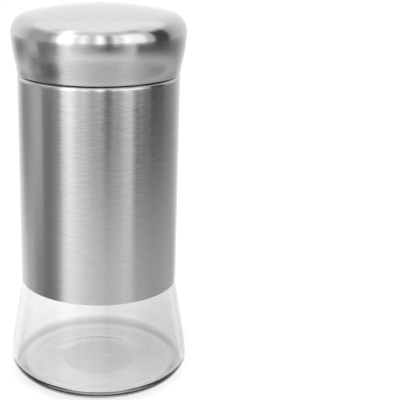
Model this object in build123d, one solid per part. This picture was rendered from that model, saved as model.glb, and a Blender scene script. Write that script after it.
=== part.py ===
from build123d import *
import math
import os

# Spice shaker: glass jar, steel sleeve, snap-in sifter and screw lid, standing on z = 0. All sizes are in mm.

# Sleeve: a rolled steel tube round the upper jar
sleeve_radius = 27.5
sleeve_sheet = 0.4
sleeve_foot_z = 35.2
sleeve_height = 73.1
rim_roll = 1.2  # outer radius of the rim, which is curled inward
sleeve_seat = 0.05  # between the sleeve's lower edge and the flared glass it rests on

# Glass jar
glue_gap = 0.45  # between sleeve and glass
glass_wall = 2.6
foot_flare = 5.75  # the flared side, carried down to the table, ends this far outside the sleeve
heel_round = 7.2
heel_lift = 0.12  # the underside between heel and bearing ring stays this far off the table
floor_z = 4.2
floor_crown = 0.4  # how much the inside floor swells at the middle
floor_round = 2.4
flare_blend = 26.0  # the flare fades into the upright wall over this radius
bearing_step = 13.25  # from the sharp foot in to the ring the jar stands on
bearing_width = 1.6
bearing_slope = 1.6  # width of the slope from the ring out to the heel's underside
punt_depth = 0.4
punt_slope = 5.2  # width of the slope from the ring in to the step round the pad
punt_step = 1.8  # width of the sloping step up to the pad in the middle
punt_pad = 0.14  # the pad is this much higher
shoulder_drop = 5.4  # below the rim, where the wall starts to turn in
shoulder_lift = 3.6  # height of the sloping shoulder
shoulder_round = 3.6

# Neck and its thread, with heights measured down from the lip
neck_step = 4.4  # the neck stands this far inside the sleeve
neck_wall = 2.8
neck_height = 16.1  # above the rim
neck_edge = 0.3
bead_drop = 9.4
bead_height = 1.1
bead_width = 2.2
bead_crown = 1.47
bead_edge = 0.35
thread_pitch = 4.2333
thread_depth = 1.3
thread_half = 1.15  # half the ridge's width where it leaves the neck
thread_lead = 0.97  # from the lip down to the ridge's upper end
thread_turns = 1.4
thread_start = -184.0  # degrees round from +X where the ridge begins
flank_slope = 0.54
crest_round = 0.3
run_out = 0.11  # turns over which a ridge fades at each end
ridge_bury = 0.4  # a ridge's root lies this deep in its wall
run_out_depth = 0.2

# Lid's threaded liner
crest_gap = 0.35  # between each ridge and the wall it faces
flank_gap = 0.15
liner_wall = 1.2
liner_half = 1.1
liner_thread_drop = 7.0  # from the neck's lip down to the ridge's lower end
liner_turns = 1.0
liner_foot = 1.2
liner_lead = 0.3
liner_plate = 0.8
liner_step_drop = 0.5  # the bore narrows over the lip, from this far below it
liner_step_rise = 0.3  # to this far above it
seal_side_gap = 0.1
liner_corner = 1.8

# Sifter
flange_inset = 0.1  # the flange is this much inside the neck's face
flange_thickness = 1.4
flange_ring = 3.5
flange_edge = 0.35
recess_depth = 1.3
recess_draft = 0.3
recess_edge = 0.25
recess_rise = 0.35  # the panel climbs by this from the recess's edge to the disc
panel_thickness = 1.0
panel_fillet = 0.4
disc_radius = 13.6
disc_bead = 0.75
disc_bead_height = 0.3
plug_gap = 0.03
plug_lip = 0.25
plug_wall = 1.1
plug_depth = 6.0
plug_lead = 0.4
snap_drop = 1.0  # from the flange down to the groove between the plug's two snap rings
snap_ramp = 0.4
snap_groove = 1.2
snap_width = 0.6
seat_gap = 0.03  # between the flange and the neck's lip
hole_radius = 1.5
hole_collar = 2.1
collar_foot = 0.15
collar_height = 0.85
collar_lip = 0.25
collar_edge = 0.15
inner_ring = 6.2
outer_ring = 11.2
holes_per_ring = 5
gate_width = 0.7
gate_height = 0.25
gate_inset = 0.3
gate_angle = -110.0
root_depth = 0.1  # what stands on the panel is rooted this deep in it

# Lid
lid_gap = 0.3  # between lid and sleeve rim
lid_headroom = 3.37  # from the liner's plate up to the top of the crown
lid_crown = 8.9  # from the lid's widest line up to the top of the crown
lid_sheet = 0.5
lid_overhang = 0.1  # the lid's foot is this much wider than the sleeve
lid_straight = 0.9  # above the rim, where the upright foot ends
lid_foot_lean = 7.0  # degrees out from upright at which the side leaves the foot
lid_swell = 1.75  # from the foot out to the widest line
lid_flare_share = 0.417  # the hollow curve's share of the flare
lid_corner = 6.3
hem_width = 1.6
hem_fold = 0.3
hem_seat = 0.05
liner_side_gap = 0.1

# Seal, glue
seal_thickness = 0.8
seal_edge = 0.15
seal_lift = 0.05  # between the seal and each face it works against
glue_skin = 0.03
lid_glue_inner = 8.0
lid_glue_outer = 18.0
band_height = 10.0
band_inset = 9.0  # from each end of the sleeve's straight part

# Heights and radii that follow
rim_z = sleeve_foot_z + sleeve_height
sleeve_bore = sleeve_radius - sleeve_sheet
glass_radius = sleeve_bore - glue_gap
glass_bore = glass_radius - glass_wall
foot_corner = sleeve_radius + foot_flare
bearing_inner = foot_corner - bearing_step
punt_disc = bearing_inner - punt_slope - punt_step
neck_radius = sleeve_radius - neck_step
neck_bore = neck_radius - neck_wall
neck_z = rim_z + neck_height
bead_z = neck_z - bead_drop
thread_z = neck_z - thread_lead - thread_turns * thread_pitch
flange_z = neck_z + seat_gap
flange_top = flange_z + flange_thickness
flange_radius = neck_radius - flange_inset
liner_bore = neck_radius + thread_depth + crest_gap
liner_radius = liner_bore + liner_wall
liner_crest = neck_radius + crest_gap
seal_radius = liner_crest - seal_side_gap
seal_z = flange_top + seal_lift
plate_z = seal_z + seal_thickness + seal_lift
plate_top = plate_z + liner_plate
liner_thread_z = neck_z - liner_thread_drop
thread_drop = thread_half + liner_half - flank_slope * (liner_bore - neck_radius) + flank_gap
lid_top = plate_top + lid_headroom
widest_z = lid_top - lid_crown
lid_foot_radius = sleeve_radius + lid_overhang
lid_radius = lid_foot_radius + lid_swell


def outline(corners):
    # A closed outline in the (radius, height) plane. A corner is (r, z) where it is sharp,
    # (r, z, f) where it is rounded to radius f and (r, z, c, "bevel") where a width c is cut off each side.
    edges = []
    ends = []
    for i, corner in enumerate(corners):
        here = Vector(corner[0], corner[1])
        if len(corner) == 2:
            ends.append((here, here))
            continue
        back = (Vector(*corners[i - 1][:2]) - here).normalized()
        ahead = (Vector(*corners[(i + 1) % len(corners)][:2]) - here).normalized()
        if len(corner) == 4:
            ends.append((here + back * corner[2], here + ahead * corner[2]))
            edges.append(Line(*ends[-1]))
            continue
        half = math.acos(max(-1, min(1, back.dot(ahead)))) / 2
        reach = corner[2] / math.tan(half)
        middle = here + (back + ahead).normalized() * (corner[2] / math.sin(half) - corner[2])
        ends.append((here + back * reach, here + ahead * reach))
        edges.append(ThreePointArc(ends[-1][0], middle, ends[-1][1]))
    for i, (start, end) in enumerate(ends):
        following = ends[(i + 1) % len(ends)][0]
        if (following - end).length > 1e-5:
            edges.append(Line(end, following))
    return edges


def turned(edges):
    return revolve(Plane.XZ * make_face(edges), Axis.Z)


def ridge(wall, reach, half_width, low, start, turns, side):
    # A helical ridge on a round wall. side is 1 for a ridge that stands outward and -1 for one that stands inward.
    wires = []
    steps = math.ceil(turns * 30)
    for i in range(steps + 1):
        done = turns * i / steps
        share = max(0.0, min(1.0, done / run_out, (turns - done) / run_out))
        share = share * share * (3 - 2 * share)
        rise = share * (reach + run_out_depth) - run_out_depth
        shoulder = rise - crest_round * share
        width = half_width * (0.45 + 0.55 * share)
        root = width + flank_slope * ridge_bury
        upper = width - flank_slope * shoulder
        section = [
            (-ridge_bury, -root),
            (shoulder, -upper),
            (rise, -upper + crest_round * share),
            (rise, upper - crest_round * share),
            (shoulder, upper),
            (-ridge_bury, root),
        ]
        if share < 0.02:
            section = [
                (-ridge_bury, -root),
                (rise - 0.02, -upper),
                (rise, -upper + 0.02),
                (rise, upper - 0.02),
                (rise - 0.02, upper),
                (-ridge_bury, root),
            ]
        turn = math.radians(start) + 2 * math.pi * done
        middle = low + thread_pitch * done
        points = []
        for out, up in section:
            radius = wall + side * out
            points.append(Vector(radius * math.cos(turn), radius * math.sin(turn), middle + up))
        wires.append(Wire.make_polygon(points, close=True))
    return Solid.make_loft(wires)


def make_glass_jar():
    lean = (foot_corner - sleeve_bore + sleeve_seat) / sleeve_foot_z
    inner_foot = foot_corner - lean * floor_z - glass_wall * math.hypot(1, lean)
    inner_meet = (inner_foot - glass_bore) / lean + floor_z
    outer_meet = (foot_corner - glass_radius) / lean
    body = turned(
        outline(
            [
                (0, punt_depth + punt_pad),
                (punt_disc, punt_depth + punt_pad),
                (punt_disc + punt_step, punt_depth),
                (bearing_inner, 0),
                (bearing_inner + bearing_width, 0),
                (bearing_inner + bearing_width + bearing_slope, heel_lift),
                (foot_corner - lean * heel_lift, heel_lift, heel_round),
                (glass_radius, outer_meet, flare_blend),
                (glass_radius, rim_z - shoulder_drop, shoulder_round),
                (neck_radius, rim_z - shoulder_drop + shoulder_lift, shoulder_round),
                (neck_radius, bead_z - bead_width / 2),
                (neck_radius + bead_height, bead_z - bead_crown / 2, bead_edge, "bevel"),
                (neck_radius + bead_height, bead_z + bead_crown / 2, bead_edge, "bevel"),
                (neck_radius, bead_z + bead_width / 2),
                (neck_radius, neck_z, neck_edge, "bevel"),
                (neck_bore, neck_z, neck_edge, "bevel"),
                (neck_bore, rim_z - shoulder_drop + shoulder_lift, shoulder_round),
                (glass_bore, rim_z - shoulder_drop - glass_wall / 2, shoulder_round),
                (glass_bore, inner_meet, flare_blend),
                (inner_foot, floor_z, floor_round),
                (0, floor_z + floor_crown),
            ]
        )
    )
    thread = ridge(neck_radius, thread_depth, thread_half, thread_z, thread_start, thread_turns, 1)
    return body + thread


def make_body_sleeve():
    curl = sleeve_radius - rim_roll
    curl_z = rim_z - rim_roll
    inner = rim_roll - sleeve_sheet
    edges = [
        Line((sleeve_bore, sleeve_foot_z), (sleeve_radius, sleeve_foot_z)),
        Line((sleeve_radius, sleeve_foot_z), (sleeve_radius, curl_z)),
        CenterArc((curl, curl_z), rim_roll, 0, 180),
        Line((curl - rim_roll, curl_z), (curl - inner, curl_z)),
        CenterArc((curl, curl_z), inner, 0, 180),
        Line((sleeve_bore, curl_z), (sleeve_bore, sleeve_foot_z)),
    ]
    return turned(edges)


def make_glue_band(foot_z):
    inner = glass_radius + glue_skin
    outer = sleeve_bore - glue_skin
    return turned(
        outline(
            [
                (inner, foot_z),
                (outer, foot_z),
                (outer, foot_z + band_height),
                (inner, foot_z + band_height),
            ]
        )
    )


def make_shaker_insert():
    plug_radius = neck_bore - plug_gap
    plug_z = flange_z - plug_depth
    recess = flange_radius - flange_ring
    recess_z = flange_top - recess_depth
    disc_z = recess_z + recess_rise
    waist = plug_radius - plug_lip
    groove_z = flange_z - snap_drop - snap_ramp
    ring_z = groove_z - snap_groove - snap_ramp
    insert = turned(
        outline(
            [
                (0, disc_z),
                (disc_radius, disc_z),
                (recess - recess_draft, recess_z, panel_fillet, "bevel"),
                (recess, flange_top, recess_edge, "bevel"),
                (flange_radius, flange_top, flange_edge, "bevel"),
                (flange_radius, flange_z, flange_edge, "bevel"),
                (plug_radius, flange_z),
                (plug_radius, groove_z + snap_ramp),
                (waist, groove_z),
                (waist, ring_z + snap_ramp),
                (plug_radius, ring_z),
                (plug_radius, ring_z - snap_width),
                (waist, ring_z - snap_width - snap_ramp),
                (waist - plug_lead, plug_z),
                (waist - plug_wall, plug_z),
                (waist - plug_wall, recess_z - panel_thickness, panel_fillet, "bevel"),
                (disc_radius, disc_z - panel_thickness),
                (0, disc_z - panel_thickness),
            ]
        )
    )
    insert += turned(
        outline(
            [
                (disc_radius - disc_bead, disc_z - root_depth),
                (disc_radius, disc_z - root_depth),
                (disc_radius, disc_z + disc_bead_height, disc_bead / 3, "bevel"),
                (disc_radius - disc_bead, disc_z + disc_bead_height, disc_bead / 3, "bevel"),
            ]
        )
    )
    centres = [(0.0, 0.0)]
    for ring, first in ((inner_ring, 0.0), (outer_ring, 180.0 / holes_per_ring)):
        for k in range(holes_per_ring):
            turn = math.radians(first + 360.0 * k / holes_per_ring)
            centres.append((ring * math.cos(turn), ring * math.sin(turn)))
    collar = turned(
        outline(
            [
                (0, disc_z - root_depth),
                (hole_collar, disc_z - root_depth),
                (hole_collar, disc_z + collar_foot),
                (hole_radius + collar_lip, disc_z + collar_height, collar_edge, "bevel"),
                (0, disc_z + collar_height),
            ]
        )
    )
    bore_height = panel_thickness + collar_height
    bore = Pos(0, 0, disc_z + collar_height - bore_height / 2) * Cylinder(hole_radius, 2 * bore_height)
    for x, y in centres:
        insert += Pos(x, y, 0) * collar
    for x, y in centres:
        insert -= Pos(x, y, 0) * bore
    gate_length = recess - recess_draft - disc_radius - 2 * gate_inset
    gate = Box(
        gate_length, gate_width, gate_height + recess_rise, align=(Align.MIN, Align.CENTER, Align.MAX)
    )
    gate_top = recess_z + recess_rise / 2 + gate_height
    insert += Rot(0, 0, gate_angle) * Pos(disc_radius + gate_inset, 0, gate_top) * gate
    return insert


def crown_sphere():
    # Radius of the domed crown that meets the lid's rounded corner, and the height of its centre.
    run = lid_radius - lid_corner
    radius = (run * run + lid_crown * lid_crown - lid_corner * lid_corner) / (2 * (lid_crown - lid_corner))
    return radius, lid_top - radius


def lid_skin(inset):
    # The lid's side and crown, from the top of its upright foot to the middle, this far inside the outer face.
    # The side is a hollow arc that leaves the foot at the lean and a bulging arc that ends upright at the widest
    # line. They meet where both have turned by swing, and their radii share out the length called whole.
    straight_z = rim_z + lid_straight
    height = widest_z - straight_z
    lean = math.radians(lid_foot_lean)
    rise = lid_flare_share * math.sin(lean)
    reach = lid_flare_share * math.cos(lean) + 1 - lid_flare_share
    across = math.hypot(height, lid_swell)
    swing = math.atan2(lid_swell, height) + math.acos((reach * height + rise * lid_swell) / across)
    whole = height / (math.sin(swing) - rise)
    hollow = lid_flare_share * whole
    bulge = whole - hollow
    swing = math.degrees(swing)
    hollow_centre = (lid_foot_radius + hollow * math.cos(lean), straight_z - hollow * math.sin(lean))
    run = lid_radius - lid_corner
    crown, crown_z = crown_sphere()
    turn = math.degrees(math.atan2(widest_z - crown_z, run))
    return [
        CenterArc(hollow_centre, hollow + inset, 180 - swing, swing - lid_foot_lean),
        CenterArc((lid_radius - bulge, widest_z), bulge - inset, -swing, swing),
        CenterArc((run, widest_z), lid_corner - inset, 0, turn),
        CenterArc((0, crown_z), crown - inset, turn, 90 - turn),
    ]


def make_lid_shell():
    foot_z = rim_z + lid_gap
    straight_z = rim_z + lid_straight
    inner = lid_foot_radius - lid_sheet
    hem = lid_foot_radius - hem_width
    lean = math.radians(lid_foot_lean)
    skin_foot = (lid_foot_radius - lid_sheet * math.cos(lean), straight_z + lid_sheet * math.sin(lean))
    edges = lid_skin(0) + lid_skin(lid_sheet)
    edges += [
        Line((0, lid_top), (0, lid_top - lid_sheet)),
        Line(skin_foot, (inner, foot_z + lid_sheet)),
        Line((inner, foot_z + lid_sheet), (hem, foot_z + lid_sheet)),
        Line((hem, foot_z + lid_sheet), (hem, foot_z)),
        Line((hem, foot_z), (lid_foot_radius - hem_fold, foot_z)),
        Line((lid_foot_radius - hem_fold, foot_z), (lid_foot_radius, foot_z + hem_fold)),
        Line((lid_foot_radius, foot_z + hem_fold), (lid_foot_radius, straight_z)),
    ]
    return turned(edges)


def make_lid_liner():
    foot_z = rim_z + lid_gap + lid_sheet + hem_seat
    foot_radius = lid_foot_radius - lid_sheet - liner_side_gap
    body = turned(
        outline(
            [
                (liner_bore, foot_z, liner_lead, "bevel"),
                (foot_radius, foot_z),
                (foot_radius, foot_z + liner_foot),
                (liner_radius, foot_z + liner_foot),
                (liner_radius, plate_top - liner_corner),
                (liner_radius - liner_corner, plate_top),
                (0, plate_top),
                (0, plate_z),
                (liner_crest, plate_z),
                (liner_crest, neck_z + liner_step_rise),
                (liner_bore, neck_z - liner_step_drop),
            ]
        )
    )
    turns_up = (liner_thread_z + thread_drop - thread_z) / thread_pitch
    start = thread_start + 360.0 * turns_up
    thread = ridge(liner_bore, thread_depth, liner_half, liner_thread_z, start, liner_turns, -1)
    return body + thread


def make_lid_glue_ring():
    crown, centre_z = crown_sphere()
    under = crown - lid_sheet - glue_skin
    inner_turn = math.degrees(math.acos(lid_glue_inner / under))
    outer_turn = math.degrees(math.acos(lid_glue_outer / under))
    foot_z = plate_top + glue_skin
    inner_z = centre_z + math.sqrt(under * under - lid_glue_inner * lid_glue_inner)
    outer_z = centre_z + math.sqrt(under * under - lid_glue_outer * lid_glue_outer)
    edges = [
        CenterArc((0, centre_z), under, outer_turn, inner_turn - outer_turn),
        Line((lid_glue_inner, inner_z), (lid_glue_inner, foot_z)),
        Line((lid_glue_inner, foot_z), (lid_glue_outer, foot_z)),
        Line((lid_glue_outer, foot_z), (lid_glue_outer, outer_z)),
    ]
    return turned(edges)


def make_lid_seal():
    return turned(
        outline(
            [
                (0, seal_z),
                (seal_radius, seal_z, seal_edge, "bevel"),
                (seal_radius, seal_z + seal_thickness, seal_edge, "bevel"),
                (0, seal_z + seal_thickness),
            ]
        )
    )


parts = {
    "glass_jar": make_glass_jar(),
    "body_sleeve": make_body_sleeve(),
    "lower_glue_band": make_glue_band(sleeve_foot_z + band_inset),
    "upper_glue_band": make_glue_band(rim_z - shoulder_drop - band_inset - band_height),
    "shaker_insert": make_shaker_insert(),
    "lid_shell": make_lid_shell(),
    "lid_liner": make_lid_liner(),
    "lid_glue_ring": make_lid_glue_ring(),
    "lid_seal": make_lid_seal(),
}
os.makedirs("parts", exist_ok=True)
for name, part in parts.items():
    export_step(part, os.path.join("parts", name + ".step"))
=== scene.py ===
import math

import bmesh
import bpy
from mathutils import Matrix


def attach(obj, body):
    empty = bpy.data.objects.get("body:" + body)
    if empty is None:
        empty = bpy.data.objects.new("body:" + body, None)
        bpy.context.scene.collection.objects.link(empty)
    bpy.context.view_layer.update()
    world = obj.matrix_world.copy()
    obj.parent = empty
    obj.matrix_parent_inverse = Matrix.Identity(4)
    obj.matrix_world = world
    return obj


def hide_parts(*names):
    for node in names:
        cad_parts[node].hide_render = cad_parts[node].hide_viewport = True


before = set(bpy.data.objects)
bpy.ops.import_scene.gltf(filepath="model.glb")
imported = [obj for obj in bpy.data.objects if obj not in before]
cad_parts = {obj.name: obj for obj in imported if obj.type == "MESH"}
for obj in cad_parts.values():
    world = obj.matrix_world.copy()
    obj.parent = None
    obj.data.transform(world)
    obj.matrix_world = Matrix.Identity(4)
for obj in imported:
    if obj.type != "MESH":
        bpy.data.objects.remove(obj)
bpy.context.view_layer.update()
mm = 0.001  # metres


def hexToLinear(text):
    # an sRGB colour such as "#efefef" as linear red, green, blue and alpha
    channels = [int(text[i:i + 2], 16) / 255 for i in (1, 3, 5)]
    return [c / 12.92 if c <= 0.04045 else ((c + 0.055) / 1.055) ** 2.4 for c in channels] + [1.0]


def addNode(tree, kind, settings=None, **links):
    # settings: socket or attribute -> value, and "stops" for a ramp: (position, sRGB hex or level of light)
    # links: socket name with _ for a space, or i and the socket's number -> the output that feeds it
    node = tree.nodes.new(kind)
    for name, value in (settings or {}).items():
        if name == "stops":
            elements = node.color_ramp.elements
            while len(elements) > 1:
                elements.remove(elements[-1])
            for i, (place, tone) in enumerate(value):
                element = elements[0] if i == 0 else elements.new(place)
                element.position = place
                element.color = hexToLinear(tone) if isinstance(tone, str) else (tone, tone, tone, 1)
        elif isinstance(name, int) or name in node.inputs:
            node.inputs[name].default_value = value
        else:
            setattr(node, name, value)
    for name, output in links.items():
        key = int(name[1:]) if name[0] == "i" and name[1:].isdigit() else name.replace("_", " ")
        tree.links.new(output, node.inputs[key])
    return node


def newMaterial(name):
    material = bpy.data.materials.new(name)
    material.use_nodes = True
    material.node_tree.nodes.clear()
    return material


def arcPoints(centre, radius, startDegrees, sweepDegrees, stepDegrees):
    count = max(2, round(abs(sweepDegrees) / stepDegrees))
    turns = [math.radians(startDegrees + sweepDegrees * k / count) for k in range(count + 1)]
    return [(centre[0] + radius * math.cos(t), centre[1] + radius * math.sin(t)) for t in turns]


def roundedProfile(corners, stepDegrees):
    # corners: (radius, height) or (radius, height, fillet) in mm, from one end of the profile to the other
    points = []
    for i, corner in enumerate(corners):
        if len(corner) == 2:
            points.append(corner)
            continue
        x, y, fillet = corner
        backX, backY = corners[i - 1][0] - x, corners[i - 1][1] - y
        onX, onY = corners[i + 1][0] - x, corners[i + 1][1] - y
        back, on = math.hypot(backX, backY), math.hypot(onX, onY)
        backX, backY, onX, onY = backX / back, backY / back, onX / on, onY / on
        half = math.acos(max(-1, min(1, backX * onX + backY * onY))) / 2
        reach = fillet / math.tan(half)
        middleX, middleY = backX + onX, backY + onY
        out = fillet / math.sin(half) / math.hypot(middleX, middleY)
        centreX, centreY = x + middleX * out, y + middleY * out
        start = math.atan2(y + backY * reach - centreY, x + backX * reach - centreX)
        end = math.atan2(y + onY * reach - centreY, x + onX * reach - centreX)
        sweep = (end - start + math.pi) % (2 * math.pi) - math.pi
        start, sweep = math.degrees(start), math.degrees(sweep)
        points += arcPoints((centreX, centreY), fillet, start, sweep, stepDegrees)
    return points


def lathe(name, profile, around=288, closed=False, relief=None, sharpDegrees=40):
    # turns a profile in mm round Z; a profile that isn't closed begins and ends on the axis
    # relief gives how far a point stands out and up from the profile, from its radius, height and angle
    samePlace = 1e-4
    clean = [profile[0]]
    for point in profile[1:]:
        if math.dist(point, clean[-1]) > samePlace:
            clean.append(point)
    if closed and math.dist(clean[0], clean[-1]) < samePlace:
        clean.pop()
    mesh = bmesh.new()
    rings = []
    for radius, height in clean:
        if radius < samePlace:
            rings.append([mesh.verts.new((0, 0, height * mm))])
            continue
        ring = []
        for k in range(around):
            turn = 2 * math.pi * k / around
            out, up = relief(radius, height, turn) if relief else (0, 0)
            wide, high = (radius + out) * mm, (height + up) * mm
            ring.append(mesh.verts.new((wide * math.cos(turn), wide * math.sin(turn), high)))
        rings.append(ring)
    pairs = list(zip(rings, rings[1:])) + ([(rings[-1], rings[0])] if closed else [])
    for lower, upper in pairs:
        for k in range(around):
            after = (k + 1) % around
            square = ((lower, k), (lower, after), (upper, after), (upper, k))
            corners = [ring[place % len(ring)] for ring, place in square]
            mesh.faces.new(list(dict.fromkeys(corners)))  # a ring of one point leaves a triangle
    bmesh.ops.recalc_face_normals(mesh, faces=mesh.faces)
    data = bpy.data.meshes.new(name)
    mesh.to_mesh(data)
    mesh.free()
    data.polygons.foreach_set("use_smooth", [True] * len(data.polygons))
    data.set_sharp_from_angle(angle=math.radians(sharpDegrees))
    piece = bpy.data.objects.new(name, data)
    bpy.context.scene.collection.objects.link(piece)
    weighted = piece.modifiers.new("evenNormals", "WEIGHTED_NORMAL")
    weighted.keep_sharp = True
    return piece


def finishPiece(piece, material, body, node):
    piece.data.materials.append(material)
    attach(piece, body)
    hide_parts(node)
    print("made", piece.name)


# place in metres, pitch in degrees downwards, lens in mm
camera = {"place": (0, -0.3239, 0.1665), "pitch": 17.69, "lens": 87.5, "shiftX": 0.25325}


def makeCamera():
    data = bpy.data.cameras.new("camera")
    data.lens = camera["lens"]
    data.sensor_width = 36
    data.shift_x = camera["shiftX"]
    data.clip_start = 0.01
    data.clip_end = 30
    rig = bpy.data.objects.new("camera", data)
    rig.location = camera["place"]
    rig.rotation_euler = (math.radians(90 - camera["pitch"]), 0, 0)
    bpy.context.scene.collection.objects.link(rig)
    bpy.context.scene.camera = rig


studio = {
    "plainLevel": 0.72,  # what lights matt surfaces, the same from all sides
    "skyInGlass": 0.3, "skyEdge": (-2, 12),  # the sky's level through glass, and where it takes over
    # what the steel mirrors: belts of light round the table, from low to high. Each stop is an azimuth in
    # degrees, 0 in front and -90 to the left, and a level of light; edge gives the two elevations between
    # which a belt takes over from the one under it
    "belts": {
        "bench": {"light": [
            (-180, 1.3), (-155, 1.15), (-144, 1.0), (-132, 0.57), (-120, 0.36), (-108, 0.42), (-96, 0.4),
            (-87, 0.2), (-70, 0.16), (-61, 0.34), (-54, 0.85), (-48, 1.0), (-36, 0.9), (-18, 0.72),
            (0, 0.63), (24, 0.62), (38, 0.7), (48, 0.66), (60, 0.56), (84, 0.4), (108, 0.33), (120, 0.48),
            (132, 0.6), (144, 0.95), (156, 1.2), (180, 1.3)]},
        "table": {"edge": (-27, -22.5), "light": [
            (-180, 1.2), (-155, 1.1), (-138, 0.95), (-124, 0.72), (-112, 0.62), (-104, 0.4), (-96, 0.26),
            (-74, 0.28), (-64, 0.42), (-54, 0.85), (-48, 1.12), (-32, 1.2), (-18, 1.05), (0, 0.96),
            (18, 0.9), (38, 0.88), (48, 0.78), (60, 0.62), (90, 0.6), (112, 0.6), (130, 0.56), (144, 0.64),
            (156, 1.1), (180, 1.2)]},
        "walls": {"edge": (-23, -13), "light": [
            (-180, 1.05), (-160, 1.2), (-143, 0.75), (-132, 0.36), (-122, 0.3), (-112, 0.4), (-97, 0.6),
            (-88, 0.56), (-83, 0.26), (-74, 0.2), (-66, 0.26), (-57, 0.3), (-50, 0.8), (-41, 1.15),
            (-30, 0.78), (-20, 0.6), (-8, 0.38), (2, 0.2), (12, 0.05), (28, 0.25), (38, 0.56), (45, 0.68),
            (50, 0.3), (54, 0.04), (62, 0.1), (84, 0.1), (98, 0.14), (120, 0.3), (134, 0.55), (148, 0.85),
            (165, 1.25), (180, 1.05)]},
        "softboxes": {"edge": (-10, -6), "light": [
            (-180, 1.16), (-135, 1.02), (-122, 0.88), (-110, 0.7), (-98, 0.52), (-80, 0.52), (-66, 0.45),
            (-56, 1.0), (-51, 2.1), (-37, 2.1), (-31, 1.35), (-26, 1.15), (-20, 1.55), (-9, 0.75), (-5, 1.0),
            (1, 1.75), (6, 1.3), (11, 0.35), (16, 0.5), (21, 1.25), (28, 1.05), (35, 1.6), (44, 1.4),
            (60, 1.3), (66, 0.75), (74, 0.6), (78, 0.08), (98, 0.08), (107, 0.5), (125, 0.75), (152, 1.0),
            (180, 1.16)]},
        "high": {"edge": (30, 46), "light": [
            (-180, 1.2), (-130, 1.18), (-105, 1.15), (-88, 1.1), (-76, 0.9), (-66, 1.1), (-60, 1.5),
            (-46, 1.7), (-38, 1.2), (-30, 1.0), (-18, 0.88), (0, 0.95), (14, 0.8), (30, 0.75), (45, 0.88),
            (58, 0.65), (66, 0.62), (74, 0.9), (90, 1.0), (102, 0.95), (112, 1.15), (125, 1.18),
            (150, 1.2), (180, 1.2)]},
        "ceiling": {"edge": (54, 64), "light": [(-180, 1.2), (180, 1.2)]},
    },
}


def edgeHeights(elevations):
    # how high directions of these elevations point, from -1 to 1
    return [math.sin(math.radians(elevation)) for elevation in elevations]


def makeWorld():
    world = bpy.data.worlds.new("studio")
    bpy.context.scene.world = world
    world.use_nodes = True
    world.cycles.sampling_method = "NONE"
    tree = world.node_tree
    tree.nodes.clear()
    direction = addNode(tree, "ShaderNodeTexCoord").outputs["Generated"]
    turned = addNode(tree, "ShaderNodeMapping", {"Rotation": (0, 0, math.radians(90))}, Vector=direction)
    azimuth = addNode(tree, "ShaderNodeTexGradient", {"gradient_type": "RADIAL"}, Vector=turned.outputs[0])
    up = addNode(tree, "ShaderNodeSeparateXYZ", Vector=direction).outputs["Z"]
    light = None
    for belt in studio["belts"].values():
        stops = [(0.5 + degrees / 360, level) for degrees, level in belt["light"]]
        ramp = addNode(tree, "ShaderNodeValToRGB", {"stops": stops}, Fac=azimuth.outputs["Fac"])
        if light is None:
            light = ramp.outputs["Color"]
            continue
        low, high = edgeHeights(belt["edge"])
        fade = addNode(tree, "ShaderNodeMapRange",
                       {"interpolation_type": "SMOOTHSTEP", "From Min": low, "From Max": high}, Value=up)
        light = addNode(tree, "ShaderNodeMix", {"data_type": "RGBA"}, i0=fade.outputs["Result"], i6=light,
                        i7=ramp.outputs["Color"]).outputs[2]
    # through clear glass the backdrop is white and the sky over it darker, which draws the thick edges of
    # glass; light that a matt surface gathers through the glass is white all over
    rays = addNode(tree, "ShaderNodeLightPath").outputs
    low, high = edgeHeights(studio["skyEdge"])
    sky = addNode(tree, "ShaderNodeMapRange",
                  {"interpolation_type": "SMOOTHSTEP", "From Min": low, "From Max": high,
                   "To Min": 1.0, "To Max": studio["skyInGlass"]}, Value=up)
    bounced = addNode(tree, "ShaderNodeMath", {"operation": "GREATER_THAN", 1: 0.5},
                      i0=rays["Diffuse Depth"])
    through = addNode(tree, "ShaderNodeMix", {"data_type": "FLOAT", 3: 1.0}, i0=bounced.outputs[0],
                      i2=sky.outputs["Result"])
    plain = [studio["plainLevel"]] * 3 + [1]
    light = addNode(tree, "ShaderNodeMix", {"data_type": "RGBA", 7: plain}, i0=rays["Is Diffuse Ray"],
                    i6=light).outputs[2]
    light = addNode(tree, "ShaderNodeMix", {"data_type": "RGBA"}, i0=rays["Is Transmission Ray"], i6=light,
                    i7=through.outputs[0]).outputs[2]
    light = addNode(tree, "ShaderNodeMix", {"data_type": "RGBA", 7: (1, 1, 1, 1)}, i0=rays["Is Camera Ray"],
                    i6=light).outputs[2]
    background = addNode(tree, "ShaderNodeBackground", Color=light)
    addNode(tree, "ShaderNodeOutputWorld", Surface=background.outputs[0])


lamps = {
    "keyLamp": {"place": (-0.5, -0.7, 1.0), "size": 0.9, "watts": 5.0},
    "fillLamp": {"place": (0.8, -0.2, 0.8), "size": 0.8, "watts": 2.0},
}


def makeLamps():
    for name, facts in lamps.items():
        data = bpy.data.lights.new(name, "AREA")
        data.shape = "DISK"
        data.size = facts["size"]
        data.energy = facts["watts"]
        lamp = bpy.data.objects.new(name, data)
        lamp.location = facts["place"]
        lamp.rotation_euler = (-lamp.location).to_track_quat("-Z", "Y").to_euler()
        # the lamps only light matt surfaces: steel, glass and camera don't show them
        lamp.visible_glossy = False
        lamp.visible_camera = False
        lamp.visible_transmission = False
        bpy.context.scene.collection.objects.link(lamp)


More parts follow.
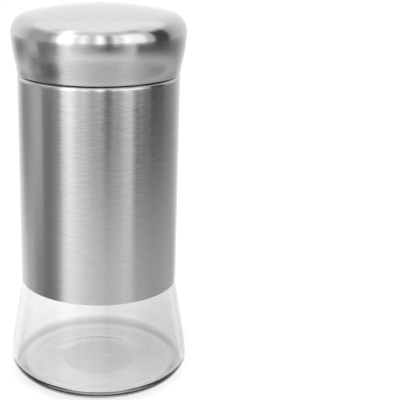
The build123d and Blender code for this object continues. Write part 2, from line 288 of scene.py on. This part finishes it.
floorLook = {
    "radius": 2.0, "drop": 0.0002,  # metres; the drop keeps the board just under the glass
    "paint": "#efefef", "grain": "#eeeeee", "grainMm": 16.7, "glow": 0.36,
    # what glass shows of the board: painted light under the jar's own floor, with a painted soft shadow of
    # the heel round it.
    # Each stop is a radius in mm, up to reach, and a level of light
    "paintedGlowInGlass": [(0, 0.42), (20, 0.44), (28, 0.44), (31, 0.02), (36, 0.04), (46, 0.18), (60, 0.22)],
    "reach": 100,
    # painted shade: through glass the board is darker on the right
    "paintedShadeInGlass": 0.12, "shadeFrom": -6, "shadeTo": 4,  # how much darker on the right, and where in mm
}


def makeBoardPaint():
    # matt white board; its own glow for what looks at it keeps it white and leaves the shadow
    material = newMaterial("matt white board")
    tree = material.node_tree
    place = addNode(tree, "ShaderNodeTexCoord").outputs["Object"]
    rays = addNode(tree, "ShaderNodeLightPath").outputs
    paper = addNode(tree, "ShaderNodeTexNoise", {"Scale": 1000 / floorLook["grainMm"], "Detail": 2.0},
                    Vector=place)
    tones = [(0.3, floorLook["grain"]), (0.7, floorLook["paint"])]
    tone = addNode(tree, "ShaderNodeValToRGB", {"stops": tones}, Fac=paper.outputs["Fac"])
    diffuse = addNode(tree, "ShaderNodeBsdfDiffuse", Color=tone.outputs["Color"])
    seen = addNode(tree, "ShaderNodeMath", {"operation": "MULTIPLY", 1: floorLook["glow"]},
                   i0=rays["Is Camera Ray"])
    # through glass the board glows with painted light under the jar and a painted shadow of the heel round
    # it
    radius = addNode(tree, "ShaderNodeVectorMath", {"operation": "LENGTH"}, i0=place)
    share = addNode(tree, "ShaderNodeMath", {"operation": "DIVIDE", 1: floorLook["reach"] * mm},
                    i0=radius.outputs["Value"])
    stops = [(radiusMm / floorLook["reach"], level) for radiusMm, level in floorLook["paintedGlowInGlass"]]
    under = addNode(tree, "ShaderNodeValToRGB", {"stops": stops}, Fac=share.outputs[0])
    seenInGlass = addNode(tree, "ShaderNodeMath", {"operation": "MULTIPLY_ADD"},
                          i0=rays["Is Transmission Ray"], i1=under.outputs["Color"], i2=seen.outputs[0])
    glow = addNode(tree, "ShaderNodeEmission", {"Color": (1, 1, 1, 1)}, Strength=seenInGlass.outputs[0])
    lit = addNode(tree, "ShaderNodeAddShader", i0=diffuse.outputs[0], i1=glow.outputs[0])
    # painted shade: seen through glass the board darkens towards the right
    across = addNode(tree, "ShaderNodeSeparateXYZ", Vector=place).outputs["X"]
    shade = addNode(tree, "ShaderNodeMapRange",
                    {"interpolation_type": "SMOOTHSTEP", "From Min": floorLook["shadeFrom"] * mm,
                     "From Max": floorLook["shadeTo"] * mm, "To Max": floorLook["paintedShadeInGlass"]},
                    Value=across)
    shaded = addNode(tree, "ShaderNodeMath", {"operation": "MULTIPLY"},
                     i0=rays["Is Transmission Ray"], i1=shade.outputs["Result"])
    # the second shader of the mix is left empty, which is black
    board = addNode(tree, "ShaderNodeMixShader", i0=shaded.outputs[0], i1=lit.outputs[0])
    addNode(tree, "ShaderNodeOutputMaterial", Surface=board.outputs[0])
    return material


def makeFloor(material):
    mesh = bmesh.new()
    bmesh.ops.create_circle(mesh, cap_ends=True, segments=96, radius=floorLook["radius"])
    data = bpy.data.meshes.new("floorBoard")
    mesh.to_mesh(data)
    mesh.free()
    data.materials.append(material)
    floor = bpy.data.objects.new("floorBoard", data)
    floor.location = (0, 0, -floorLook["drop"])
    floor.visible_glossy = False
    bpy.context.scene.collection.objects.link(floor)


def makeSteel(name, look):
    # 18/8 stainless sheet, brushed with an abrasive belt while it turned: soft grey bands that run up and
    # down, crossed by short fine scratches round the part, drawn about three times as wide as real ones
    material = newMaterial(name)
    tree = material.node_tree
    place = addNode(tree, "ShaderNodeTexCoord").outputs["Object"]
    parts = addNode(tree, "ShaderNodeSeparateXYZ", Vector=place)
    flat = addNode(tree, "ShaderNodeCombineXYZ", X=parts.outputs["X"], Y=parts.outputs["Y"])
    across = parts.outputs["Z"]
    if look["crown"]:
        # on a crown the scratches are told apart by radius too
        radius = addNode(tree, "ShaderNodeVectorMath", {"operation": "LENGTH"}, i0=flat.outputs[0])
        across = addNode(tree, "ShaderNodeMath", {"operation": "SUBTRACT"}, i0=parts.outputs["Z"],
                         i1=radius.outputs["Value"]).outputs[0]
    direction = addNode(tree, "ShaderNodeVectorMath", {"operation": "NORMALIZE"}, i0=flat.outputs[0])
    circleMm = 27.0  # round the part the pattern runs on a circle of this radius, across it on real height
    patterns = []
    for lengthMm, widthMm, detail in look["scratches"]:
        ring = addNode(tree, "ShaderNodeVectorMath", {"operation": "SCALE", "Scale": circleMm / lengthMm},
                       i0=direction.outputs[0])
        split = addNode(tree, "ShaderNodeSeparateXYZ", Vector=ring.outputs[0])
        high = addNode(tree, "ShaderNodeMath", {"operation": "MULTIPLY", 1: 1000 / widthMm}, i0=across)
        spot = addNode(tree, "ShaderNodeCombineXYZ", X=split.outputs["X"], Y=split.outputs["Y"],
                       Z=high.outputs[0])
        noise = addNode(tree, "ShaderNodeTexNoise", {"Scale": 1.0, "Detail": detail, "Roughness": 0.6},
                        Vector=spot.outputs[0])
        patterns.append(noise.outputs["Fac"])
    fine, coarse = patterns
    blend = addNode(tree, "ShaderNodeMix", {"data_type": "FLOAT", 0: 0.35}, i2=fine, i3=coarse).outputs[0]
    dark, middle, light = look["tones"]
    tones = [(0.3, dark), (0.5, middle), (0.68, light)]
    tone = addNode(tree, "ShaderNodeValToRGB", {"stops": tones}, Fac=blend)
    rough = addNode(tree, "ShaderNodeMapRange",
                    {"From Min": 0.3, "From Max": 0.7,
                     "To Min": look["roughness"] * 0.9, "To Max": look["roughness"] * 1.1}, Value=blend)
    bump = addNode(tree, "ShaderNodeBump", {"Strength": look["relief"], "Distance": 0.06 * mm}, Height=blend)
    tangent = addNode(tree, "ShaderNodeTangent", {"direction_type": "RADIAL", "axis": "Z"})
    shader = addNode(tree, "ShaderNodeBsdfPrincipled",
                     {"Metallic": 1.0, "Specular Tint": hexToLinear(look["grazing"]),
                      # the quarter turn spreads reflections across the scratches, not along them
                      "Anisotropic": look["anisotropy"], "Anisotropic Rotation": 0.25},
                     Base_Color=tone.outputs["Color"], Roughness=rough.outputs["Result"],
                     Normal=bump.outputs["Normal"], Tangent=tangent.outputs["Tangent"])
    addNode(tree, "ShaderNodeOutputMaterial", Surface=shader.outputs[0])
    return material


def makePlastic(name, look):
    # moulded or foamed plastic and set glue: soft highlights, faint clouds, and light that goes in a little
    material = newMaterial(name)
    tree = material.node_tree
    place = addNode(tree, "ShaderNodeTexCoord").outputs["Object"]
    grain = addNode(tree, "ShaderNodeTexNoise", {"Scale": 1000 / look["grainMm"], "Detail": 3.0},
                    Vector=place)
    cloudMm = 16.7
    cloud = addNode(tree, "ShaderNodeTexNoise", {"Scale": 1000 / cloudMm, "Detail": 2.0}, Vector=place)
    dark, light = look["tones"]
    tone = addNode(tree, "ShaderNodeValToRGB", {"stops": [(0.3, dark), (0.7, light)]},
                   Fac=cloud.outputs["Fac"])
    rough = addNode(tree, "ShaderNodeMapRange",
                    {"From Min": 0.3, "From Max": 0.7,
                     "To Min": look["roughness"] * 0.9, "To Max": look["roughness"] * 1.1},
                    Value=grain.outputs["Fac"])
    bump = addNode(tree, "ShaderNodeBump", {"Strength": 0.15, "Distance": 0.03 * mm},
                   Height=grain.outputs["Fac"])
    shader = addNode(tree, "ShaderNodeBsdfPrincipled",
                     {"IOR": 1.5, "Subsurface Weight": look["subsurface"], "Subsurface Radius": (1, 1, 1),
                      "Subsurface Scale": 2 * mm},
                     Base_Color=tone.outputs["Color"], Roughness=rough.outputs["Result"],
                     Normal=bump.outputs["Normal"])
    addNode(tree, "ShaderNodeOutputMaterial", Surface=shader.outputs[0])
    return material


# heights from here on are in mm above the table
sleeve = {
    "radius": 27.5, "sheet": 0.4, "foot": 35.2, "rim": 108.3, "rimRoll": 1.2, "burr": 0.06,
    # scratches are (length, width, detail); grazing is the tint of what shows at a flat angle, where white
    # would flash brighter than a brushed face does
    "steel": {"crown": False, "grazing": "#f2f2f2", "roughness": 0.14, "anisotropy": 0.9, "relief": 0.08,
              "scratches": [(2.5, 0.35, 1.0), (7.0, 0.4, 1.0)], "tones": ("#cacaca", "#cfcfcf", "#d4d4d4")},
}


def makeSleeve(steel):
    radius, foot, burr = sleeve["radius"], sleeve["foot"], sleeve["burr"]
    bore = radius - sleeve["sheet"]
    curl = (radius - sleeve["rimRoll"], sleeve["rim"] - sleeve["rimRoll"])
    band = 1  # a ring this far from each edge keeps the long wall evenly shaded
    profile = [(bore + burr, foot), (radius - burr, foot), (radius, foot + burr), (radius, foot + band),
               (radius, curl[1] - band)]
    profile += arcPoints(curl, sleeve["rimRoll"], 0, 180, 9)
    profile += arcPoints(curl, sleeve["rimRoll"] - sleeve["sheet"], 180, -180, 12)
    profile += [(bore, curl[1] - band), (bore, foot + band), (bore, foot + burr)]
    piece = lathe("bodySleeve", profile, closed=True)
    finishPiece(piece, steel, "jar", "body_sleeve")


jar = {
    # wall, foot and floor
    "wall": 2.6, "glueGap": 0.45, "seat": 0.05, "footFlare": 5.74, "flareBlend": 26.0, "heel": 7.2,
    "heelLift": 0.12, "floor": 4.2, "floorCrown": 0.4, "floorRound": 2.4,
    # the ring it stands on, and the pushed-up base inside that with its pad and the pip on it
    "bearingStep": 13.25, "bearingWidth": 1.6, "bearingSlope": 1.6, "baseRound": 0.8,
    "puntDepth": 0.4, "puntStep": 1.8, "puntPad": 0.14, "puntDisc": 13.0,
    "pip": (2.9, 1.0), "pipRadius": 1.7, "pipDepth": 0.02,
    # shoulder, neck, transfer bead and mould seams
    "shoulderDrop": 5.4, "shoulderLift": 3.6, "shoulderRound": 3.6, "neckStep": 4.4, "neckWall": 2.8,
    "neckHeight": 16.1, "neckEdge": 0.45, "beadDrop": 9.4, "beadHeight": 1.1, "beadWidth": 2.2,
    "beadFoot": 0.25, "beadRound": 0.5, "seamDegrees": (-37, 143), "seamSpread": 0.6, "seamHeight": 0.03,
    "glass": {"ior": 1.52, "tones": ("#f9f9f9", "#fbfbfb"), "ripple": 0.03, "rippleMm": 11.1,
              # the pad's tone is painted shade, greyer than the clear glass
              "padShadeTone": "#e8e8e8", "padRoughness": 0.1, "padGrainMm": 1.11, "padFade": 0.4},
}
screw = {
    "pitch": 4.2333, "depth": 1.3, "half": 1.15, "slope": 0.54, "crest": 0.3,  # the ridge and half its width
    "lead": 0.97, "turns": 1.4, "start": -184.0, "runOut": 0.11, "endWidth": 0.45,  # where it runs and fades
    "crestGap": 0.35, "flankGap": 0.15, "linerHalf": 1.1, "linerDrop": 7.0, "linerTurns": 1.0,  # in the lid
}
neckRadius = sleeve["radius"] - jar["neckStep"]
lip = sleeve["rim"] + jar["neckHeight"]
threadZ = lip - screw["lead"] - screw["turns"] * screw["pitch"]
linerBore = neckRadius + screw["depth"] + screw["crestGap"]


def ridgeHeight(height, turn, half, low, start, turns):
    # how far a helical ridge stands out of its wall at this height and angle, in mm
    best = 0.0
    angle = (math.degrees(turn) - start) / 360
    base = angle - math.floor(angle)
    for done in (base, base + 1):  # turns along the ridge: at most two coils pass this angle
        if done > turns:
            continue
        share = max(0.0, min(1.0, done / screw["runOut"], (turns - done) / screw["runOut"]))
        share = share * share * (3 - 2 * share)
        width = half * (screw["endWidth"] + (1 - screw["endWidth"]) * share)
        flank = (width - abs(height - (low + screw["pitch"] * done))) / screw["slope"]
        top = share * screw["depth"]
        soft = screw["crest"] * share + 1e-6
        rise = flank
        if flank > top + soft:
            rise = top
        elif flank > top - soft:
            # the flank runs into the crest over a small round
            rise = top - (flank - top - soft) ** 2 / (4 * soft)
        best = max(best, rise)
    return best


def makeGlass():
    # soda-lime glass, blown in a mould and fire polished: clear and bright with faint ripples; the pad under
    # the floor, chilled by the mould's bottom plate, stays slightly matt, and its greyer tone is painted
    # shade
    look = jar["glass"]
    material = newMaterial("clear soda-lime glass")
    tree = material.node_tree
    place = addNode(tree, "ShaderNodeTexCoord").outputs["Object"]
    ripple = addNode(tree, "ShaderNodeTexNoise",
                     {"Scale": 1000 / look["rippleMm"], "Detail": 1.0, "Roughness": 0.4}, Vector=place)
    bump = addNode(tree, "ShaderNodeBump", {"Strength": look["ripple"], "Distance": 0.4 * mm},
                   Height=ripple.outputs["Fac"])
    parts = addNode(tree, "ShaderNodeSeparateXYZ", Vector=place)
    flat = addNode(tree, "ShaderNodeCombineXYZ", X=parts.outputs["X"], Y=parts.outputs["Y"])
    radius = addNode(tree, "ShaderNodeVectorMath", {"operation": "LENGTH"}, i0=flat.outputs[0])
    padOut, padIn = jar["puntDisc"] + look["padFade"], jar["puntDisc"] - look["padFade"]
    padEdge = addNode(tree, "ShaderNodeMapRange", {"From Min": padOut * mm, "From Max": padIn * mm},
                      Value=radius.outputs["Value"])
    # the pad is on the underside only, which lies lower than half the floor's thickness
    padFloor = addNode(tree, "ShaderNodeMath", {"operation": "LESS_THAN", 1: jar["floor"] * 0.5 * mm},
                       i0=parts.outputs["Z"])
    # the pip is clear, a painted light spot in the pad's painted shade; the pad turns matt again from 0.6 of
    # its radius outwards
    pipAt = (jar["pip"][0] * mm, jar["pip"][1] * mm, 0)
    pipAway = addNode(tree, "ShaderNodeVectorMath", {"operation": "DISTANCE", 1: pipAt}, i0=flat.outputs[0])
    pipEdge = addNode(tree, "ShaderNodeMapRange",
                      {"From Min": jar["pipRadius"] * 0.6 * mm, "From Max": jar["pipRadius"] * mm},
                      Value=pipAway.outputs["Value"])
    padRing = addNode(tree, "ShaderNodeMath", {"operation": "MULTIPLY"}, i0=padEdge.outputs["Result"],
                      i1=pipEdge.outputs["Result"])
    pad = addNode(tree, "ShaderNodeMath", {"operation": "MULTIPLY"}, i0=padRing.outputs[0],
                  i1=padFloor.outputs[0])
    grain = addNode(tree, "ShaderNodeTexNoise", {"Scale": 1000 / look["padGrainMm"], "Detail": 2.0},
                    Vector=place)
    matt = addNode(tree, "ShaderNodeMath", {"operation": "MULTIPLY"}, i0=pad.outputs[0],
                   i1=grain.outputs["Fac"])
    rough = addNode(tree, "ShaderNodeMath", {"operation": "MULTIPLY", 1: look["padRoughness"] * 2},
                    i0=matt.outputs[0])
    dark, light = look["tones"]
    clear = addNode(tree, "ShaderNodeValToRGB", {"stops": [(0.3, dark), (0.7, light)]},
                    Fac=ripple.outputs["Fac"])
    # painted shade on the pad, with the clear pip left as a painted light spot
    tone = addNode(tree, "ShaderNodeMix", {"data_type": "RGBA", 7: hexToLinear(look["padShadeTone"])},
                   i0=pad.outputs[0], i6=clear.outputs["Color"])
    shader = addNode(tree, "ShaderNodeBsdfPrincipled", {"Transmission Weight": 1.0, "IOR": look["ior"]},
                     Base_Color=tone.outputs[2], Roughness=rough.outputs[0], Normal=bump.outputs["Normal"])
    addNode(tree, "ShaderNodeOutputMaterial", Surface=shader.outputs[0])
    return material


def makeJar(glass):
    sleeveBore = sleeve["radius"] - sleeve["sheet"]
    side = sleeveBore - jar["glueGap"]
    bore = side - jar["wall"]
    foot = sleeve["radius"] + jar["footFlare"]
    bearing = foot - jar["bearingStep"]
    bearingOut = bearing + jar["bearingWidth"]
    lean = (foot - sleeveBore + jar["seat"]) / sleeve["foot"]
    innerFoot = foot - lean * jar["floor"] - jar["wall"] * math.hypot(1, lean)
    innerMeet = (innerFoot - bore) / lean + jar["floor"]
    outerMeet = (foot - side) / lean
    shoulder = sleeve["rim"] - jar["shoulderDrop"]
    shoulderTop = shoulder + jar["shoulderLift"]
    neckBore = neckRadius - jar["neckWall"]
    bead = lip - jar["beadDrop"]
    beadTop = bead + jar["beadWidth"] / 2
    beadOut = neckRadius + jar["beadHeight"]
    padZ = jar["puntDepth"] + jar["puntPad"]
    stepDegrees = 4.5
    pipField = 6  # inside this radius the pad has a ring each quarter of a millimetre, to carry the pip
    outside = [(0, padZ)] + [(k / 4, padZ) for k in range(4, 22)]
    outside += roundedProfile([
        (pipField, padZ),
        (jar["puntDisc"], padZ, jar["baseRound"]),
        (jar["puntDisc"] + jar["puntStep"], jar["puntDepth"], jar["baseRound"]),
        (bearing, 0, jar["baseRound"]),
        (bearingOut, 0, jar["baseRound"]),
        (bearingOut + jar["bearingSlope"], jar["heelLift"], jar["baseRound"]),
        (foot - lean * jar["heelLift"], jar["heelLift"], jar["heel"]),
        (side, outerMeet, jar["flareBlend"]),
        (side, shoulder, jar["shoulderRound"]),
        (neckRadius, shoulderTop, jar["shoulderRound"]),
        (neckRadius, bead - jar["beadWidth"] / 2, jar["beadFoot"]),
        (beadOut, bead - jar["beadWidth"] / 3, jar["beadRound"]),
        (beadOut, bead + jar["beadWidth"] / 3, jar["beadRound"]),
        (neckRadius, beadTop, jar["beadFoot"]),
        (neckRadius, beadTop + 1),  # only gives the last round its direction
    ], stepDegrees)[:-1]
    threadFoot = beadTop + jar["beadFoot"]
    threadTop = lip - jar["neckEdge"] - 0.05  # just under the lip's round
    rows = 84
    outside += [(neckRadius, threadFoot + (threadTop - threadFoot) * k / rows) for k in range(rows + 1)]
    inside = roundedProfile([
        (neckRadius, threadTop),
        (neckRadius, lip, jar["neckEdge"]),
        (neckBore, lip, jar["neckEdge"]),
        (neckBore, shoulderTop, jar["shoulderRound"]),
        (bore, shoulder - jar["wall"] / 2, jar["shoulderRound"]),
        (bore, innerMeet, jar["flareBlend"]),
        (innerFoot, jar["floor"], jar["floorRound"]),
        (0, jar["floor"] + jar["floorCrown"]),
    ], stepDegrees)
    near = 0.01

    def relief(radius, height, turn):
        if math.isclose(radius, neckRadius) and threadFoot <= height <= threadTop:
            return ridgeHeight(height, turn, screw["half"], threadZ, screw["start"], screw["turns"]), 0
        if radius < pipField and height < padZ + near:
            spot = (radius * math.cos(turn), radius * math.sin(turn))
            away = math.dist(spot, jar["pip"]) / jar["pipRadius"]
            return 0, jar["pipDepth"] * (1 - away * away) ** 2 if away < 1 else 0
        if radius > side - near and jar["heel"] < height < shoulder:
            for seam in jar["seamDegrees"]:
                if abs((math.degrees(turn) - seam + 180) % 360 - 180) < jar["seamSpread"]:
                    return jar["seamHeight"], 0
        return 0, 0

    piece = lathe("glassJar", outside + inside[1:], relief=relief)
    piece.visible_shadow = False  # clear glass lets the lamps' light through to the board
    finishPiece(piece, glass, "jar", "glass_jar")


lid = {
    "gap": 0.3, "top": 22.6, "crown": 8.9, "sheet": 0.5, "overhang": 0.1, "straight": 0.9, "swell": 1.75,
    "flareShare": 0.417, "lean": 7.0, "corner": 6.3, "hem": 1.6, "hemRound": 0.15, "footRound": 0.35,
    "steel": {"crown": True, "grazing": "#f2f2f2", "roughness": 0.13, "anisotropy": 0.6, "relief": 0.07,
              "scratches": [(3.0, 0.35, 1.0), (9.0, 0.4, 1.0)], "tones": ("#cbcbcb", "#d0d0d0", "#d5d5d5")},
}


def lidSkin(inset):
    # an arc that is hollow seen from outside, one that bulges, the corner and the crown
    footRadius = sleeve["radius"] + lid["overhang"]
    wide = footRadius + lid["swell"]
    straightZ = sleeve["rim"] + lid["straight"]
    topZ = sleeve["rim"] + lid["top"]
    wideZ = topZ - lid["crown"]
    height = wideZ - straightZ
    lean = math.radians(lid["lean"])
    share = lid["flareShare"]
    reach = (share * math.cos(lean) + 1 - share) * height + share * math.sin(lean) * lid["swell"]
    swing = math.atan2(lid["swell"], height) + math.acos(reach / math.hypot(height, lid["swell"]))
    whole = height / (math.sin(swing) - share * math.sin(lean))
    hollow = share * whole
    bulge = whole - hollow
    run = wide - lid["corner"]
    crown = (run * run + lid["crown"] ** 2 - lid["corner"] ** 2) / (2 * (lid["crown"] - lid["corner"]))
    turn = math.degrees(math.atan2(wideZ - (topZ - crown), run))
    hollowCentre = (footRadius + hollow * math.cos(lean), straightZ - hollow * math.sin(lean))
    swing = math.degrees(swing)
    points = arcPoints(hollowCentre, hollow + inset, 180 - lid["lean"], lid["lean"] - swing, 1.0)
    points += arcPoints((wide - bulge, wideZ), bulge - inset, -swing, swing, 1.0)
    points += arcPoints((run, wideZ), lid["corner"] - inset, 0, turn, 4.0)
    points += arcPoints((0, topZ - crown), crown - inset, turn, 90 - turn, 1.0)
    points[-1] = (0, topZ - inset)
    return points


def makeLidShell(steel):
    footZ = sleeve["rim"] + lid["gap"]
    fall = (lid["straight"] - lid["gap"]) * math.tan(math.radians(lid["lean"]))
    footRadius = sleeve["radius"] + lid["overhang"] - fall
    straightZ = sleeve["rim"] + lid["straight"]
    foot = roundedProfile([
        (footRadius + fall - lid["sheet"], straightZ),
        (footRadius - lid["sheet"], footZ + lid["sheet"]),
        (footRadius - lid["hem"], footZ + lid["sheet"], lid["hemRound"]),
        (footRadius - lid["hem"], footZ, lid["hemRound"]),
        (footRadius, footZ, lid["footRound"]),
        (footRadius + fall, straightZ),
    ], 15)
    profile = lidSkin(lid["sheet"])[::-1] + foot[1:-1] + lidSkin(0)
    piece = lathe("lidShell", profile)
    finishPiece(piece, steel, "lid", "lid_shell")


liner = {
    "wall": 1.2, "foot": 1.2, "footRound": 0.2, "lead": 0.3, "stepDrop": 0.5, "stepRise": 0.3,
    "stepRound": 0.15, "corner": 1.8, "cornerRound": 0.5, "plate": 0.8, "plateUnder": 126.73,
    "hemSeat": 0.05, "sideGap": 0.1,
    # white polypropylene from a mould: clean and even, with a satin sheen
    "plastic": {"tones": ("#e4e3df", "#ebeae6"), "roughness": 0.4, "grainMm": 0.6, "subsurface": 0.1},
}


def makeLidLiner(plastic):
    outer = linerBore + liner["wall"]
    crest = neckRadius + screw["crestGap"]
    footZ = sleeve["rim"] + lid["gap"] + lid["sheet"] + liner["hemSeat"]
    footRadius = sleeve["radius"] + lid["overhang"] - lid["sheet"] - liner["sideGap"]
    topZ = liner["plateUnder"] + liner["plate"]
    boreTop = lip - liner["stepDrop"]
    stepDegrees = 12
    profile = roundedProfile([
        (0, liner["plateUnder"]),
        (crest, liner["plateUnder"]),
        (crest, lip + liner["stepRise"], liner["stepRound"]),
        (linerBore, boreTop, liner["stepRound"]),
        (linerBore, boreTop - 0.5),  # only gives the last round its direction
    ], stepDegrees)[:-1]
    high, low = boreTop - 0.3, footZ + liner["lead"] + 0.2  # the ridge's wall, clear of both rounds
    rows = 90
    profile += [(linerBore, high + (low - high) * k / rows) for k in range(rows + 1)]
    profile += roundedProfile([
        (linerBore, low),
        (linerBore, footZ, liner["lead"]),
        (footRadius, footZ, liner["footRound"]),
        (footRadius, footZ + liner["foot"], liner["footRound"]),
        (outer, footZ + liner["foot"]),
        (outer, topZ - liner["corner"], liner["cornerRound"]),
        (outer - liner["corner"], topZ, liner["cornerRound"]),
        (0, topZ),
    ], stepDegrees)[1:]
    # the liner's ridge lies under the jar's, flank to flank with the gap between them
    drop = screw["half"] + screw["linerHalf"] - screw["slope"] * (linerBore - neckRadius) + screw["flankGap"]
    ridgeZ = lip - screw["linerDrop"]
    start = screw["start"] + 360 * (ridgeZ + drop - threadZ) / screw["pitch"]

    def relief(radius, height, turn):
        if not math.isclose(radius, linerBore) or not low <= height <= high:
            return 0, 0
        return -ridgeHeight(height, turn, screw["linerHalf"], ridgeZ, start, screw["linerTurns"]), 0

    piece = lathe("lidLiner", profile, relief=relief)
    finishPiece(piece, plastic, "lid", "lid_liner")


finishes = {
    # melted on and set: pale amber, smooth and a little cloudy
    "set hot-melt adhesive": {
        "nodes": ["lower_glue_band", "upper_glue_band", "lid_glue_ring"],
        "tones": ("#d8d4c6", "#e2dfd3"), "roughness": 0.3, "grainMm": 1.2, "subsurface": 0.3},
    # moulded without pigment: milky, with soft edges where light goes in
    "natural LDPE, moulded": {
        "nodes": ["shaker_insert"],
        "tones": ("#d9dad9", "#e1e2e1"), "roughness": 0.36, "grainMm": 0.6, "subsurface": 0.3},
    # foamed and cut from sheet: dull white with a fine grain
    "white polyethylene foam sheet": {
        "nodes": ["lid_seal"],
        "tones": ("#dedcd6", "#e6e4de"), "roughness": 0.7, "grainMm": 0.3, "subsurface": 0.1},
}


def dressNodes():
    # pieces whose solid already has the right shape keep it and take a finish
    for name, look in finishes.items():
        material = makePlastic(name, look)
        for node in look["nodes"]:
            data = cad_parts[node].data
            data.materials.clear()
            data.materials.append(material)
            print("dressed", node)


makeCamera()
makeWorld()
makeLamps()
makeFloor(makeBoardPaint())
print("studio ready")
makeJar(makeGlass())
makeSleeve(makeSteel("brushed stainless tube", sleeve["steel"]))
makeLidShell(makeSteel("brushed stainless pressing", lid["steel"]))
makeLidLiner(makePlastic("white polypropylene, moulded", liner["plastic"]))
dressNodes()
print("pieces ready")

scene = bpy.context.scene
scene.view_settings.view_transform = "Standard"
